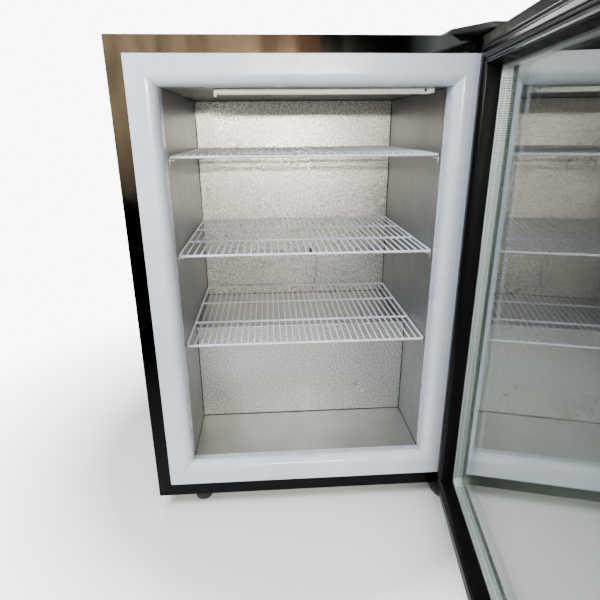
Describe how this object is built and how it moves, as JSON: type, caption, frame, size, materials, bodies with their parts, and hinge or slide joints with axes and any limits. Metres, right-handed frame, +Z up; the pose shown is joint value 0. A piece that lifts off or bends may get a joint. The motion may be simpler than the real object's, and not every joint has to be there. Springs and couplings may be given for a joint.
{
  "type": "reach in refrigerator",
  "caption": "Upright glass door refrigerator with a steel body, white collar, stepped aluminium cavity, lift-out wire shelves and a pivot-hung triple glazed door.",
  "frame": {"origin": "on the floor, under the middle of the cabinet's width and depth", "axes": "+Z up, front of the cabinet faces -Y, +X to the right as seen from the front, where the door is hinged"},
  "size_m": [0.6039, 1.0947, 0.868],
  "materials": {
    "black_paint": "satin",
    "galvanised_steel": "satin",
    "foam": "matte",
    "dark_trim": "polished",
    "white_plastic": "gloss",
    "plain_aluminium": "satin",
    "embossed_aluminium": "satin",
    "cream_plastic": "satin",
    "zinc_steel": "satin",
    "black_rubber": "matte",
    "white_wire": "gloss",
    "black_plastic": "satin",
    "copper_tube": "satin",
    "red_plastic": "gloss",
    "door_frame": "satin",
    "clear_glass": "gloss",
    "spacer_aluminium": "satin"
  },
  "bodies": {
    "cabinet": {"left_panel": "black_paint", "right_panel": "black_paint", "top_panel": "black_paint", "back_panel": "black_paint", "base_pan": "galvanised_steel", "foam_insulation": "foam", "trim_left": "dark_trim", "trim_right": "dark_trim", "trim_top": "dark_trim", "trim_bottom": "dark_trim", "collar_left": "white_plastic", "collar_right": "white_plastic", "collar_top": "white_plastic", "collar_bottom": "white_plastic", "liner_left": "plain_aluminium", "liner_right": "plain_aluminium", "liner_ceiling": "plain_aluminium", "liner_floor": "plain_aluminium", "liner_back": "embossed_aluminium", "step_front": "embossed_aluminium", "step_top": "plain_aluminium", "lamp_housing": "cream_plastic", "lamp_diffuser": "cream_plastic", "probe_grommet": "black_rubber", "probe_lead": "black_rubber", "shelf_clips": "white_plastic", "rear_feet": "black_plastic", "foot_nuts": "zinc_steel", "top_hinge_plate": "black_paint", "bottom_hinge_plate": "black_paint", "hinge_pins": "zinc_steel", "screws": "zinc_steel", "hinge_cover": "black_plastic", "bay_lining": "galvanised_steel", "evaporator_tube": "copper_tube", "compressor": "black_paint", "compressor_mounts": "black_rubber", "relay_cover": "black_plastic", "condenser_coil": "copper_tube", "condenser_fins": "plain_aluminium", "fan_motor": "black_plastic", "refrigerant_lines": "copper_tube", "rear_cover": "black_paint", "control_housings": "black_plastic", "cord_gland": "black_rubber"},
    "door": {"door_stiles": "door_frame", "door_rails": "door_frame", "glass_panes": "clear_glass", "glass_spacers": "spacer_aluminium", "door_gasket": "black_rubber", "door_handle": "black_plastic", "door_bushes": "white_plastic"},
    "shelf_top": {"shelf_top": "white_wire"},
    "shelf_middle": {"shelf_middle": "white_wire"},
    "shelf_bottom": {"shelf_bottom": "white_wire"},
    "left_foot": {"foot_front_left": "black_plastic"},
    "right_foot": {"foot_front_right": "black_plastic"},
    "fan": {"fan_blades": "black_plastic"},
    "knob": {"thermostat_knob": "black_plastic"},
    "switch": {"light_switch": "red_plastic"}
  },
  "joints": [
    {"name": "door_swing", "type": "hinge", "parent": "cabinet", "child": "door", "pos_m": [0.283, -0.267, 0.035], "axis": [0, 0, 1], "range_deg": [-82, 28]},
    {"name": "shelf_top_lift", "type": "slide", "parent": "cabinet", "child": "shelf_top", "axis": [0, 0, 1], "range_m": [0, 0.08]},
    {"name": "shelf_middle_lift", "type": "slide", "parent": "cabinet", "child": "shelf_middle", "axis": [0, 0, 1], "range_m": [0, 0.08]},
    {"name": "shelf_bottom_lift", "type": "slide", "parent": "cabinet", "child": "shelf_bottom", "axis": [0, 0, 1], "range_m": [0, 0.08]},
    {"name": "left_foot_turn", "type": "hinge", "parent": "cabinet", "child": "left_foot", "pos_m": [-0.218, -0.198, 0], "axis": [0, 0, 1], "range_deg": [0, 360]},
    {"name": "right_foot_turn", "type": "hinge", "parent": "cabinet", "child": "right_foot", "pos_m": [0.281, -0.198, 0], "axis": [0, 0, 1], "range_deg": [0, 360]},
    {"name": "fan_spin", "type": "hinge", "parent": "cabinet", "child": "fan", "pos_m": [-0.188, 0.11715, 0.1305], "axis": [1, 0, 0], "continuous": true},
    {"name": "thermostat_turn", "type": "hinge", "parent": "cabinet", "child": "knob", "pos_m": [0.17, 0.2338, 0.225], "axis": [0, 1, 0], "range_deg": [0, 270]},
    {"name": "light_switch_tip", "type": "hinge", "parent": "cabinet", "child": "switch", "pos_m": [0.22, 0.2318, 0.225], "axis": [1, 0, 0], "range_deg": [-16, 0]}
  ]
}
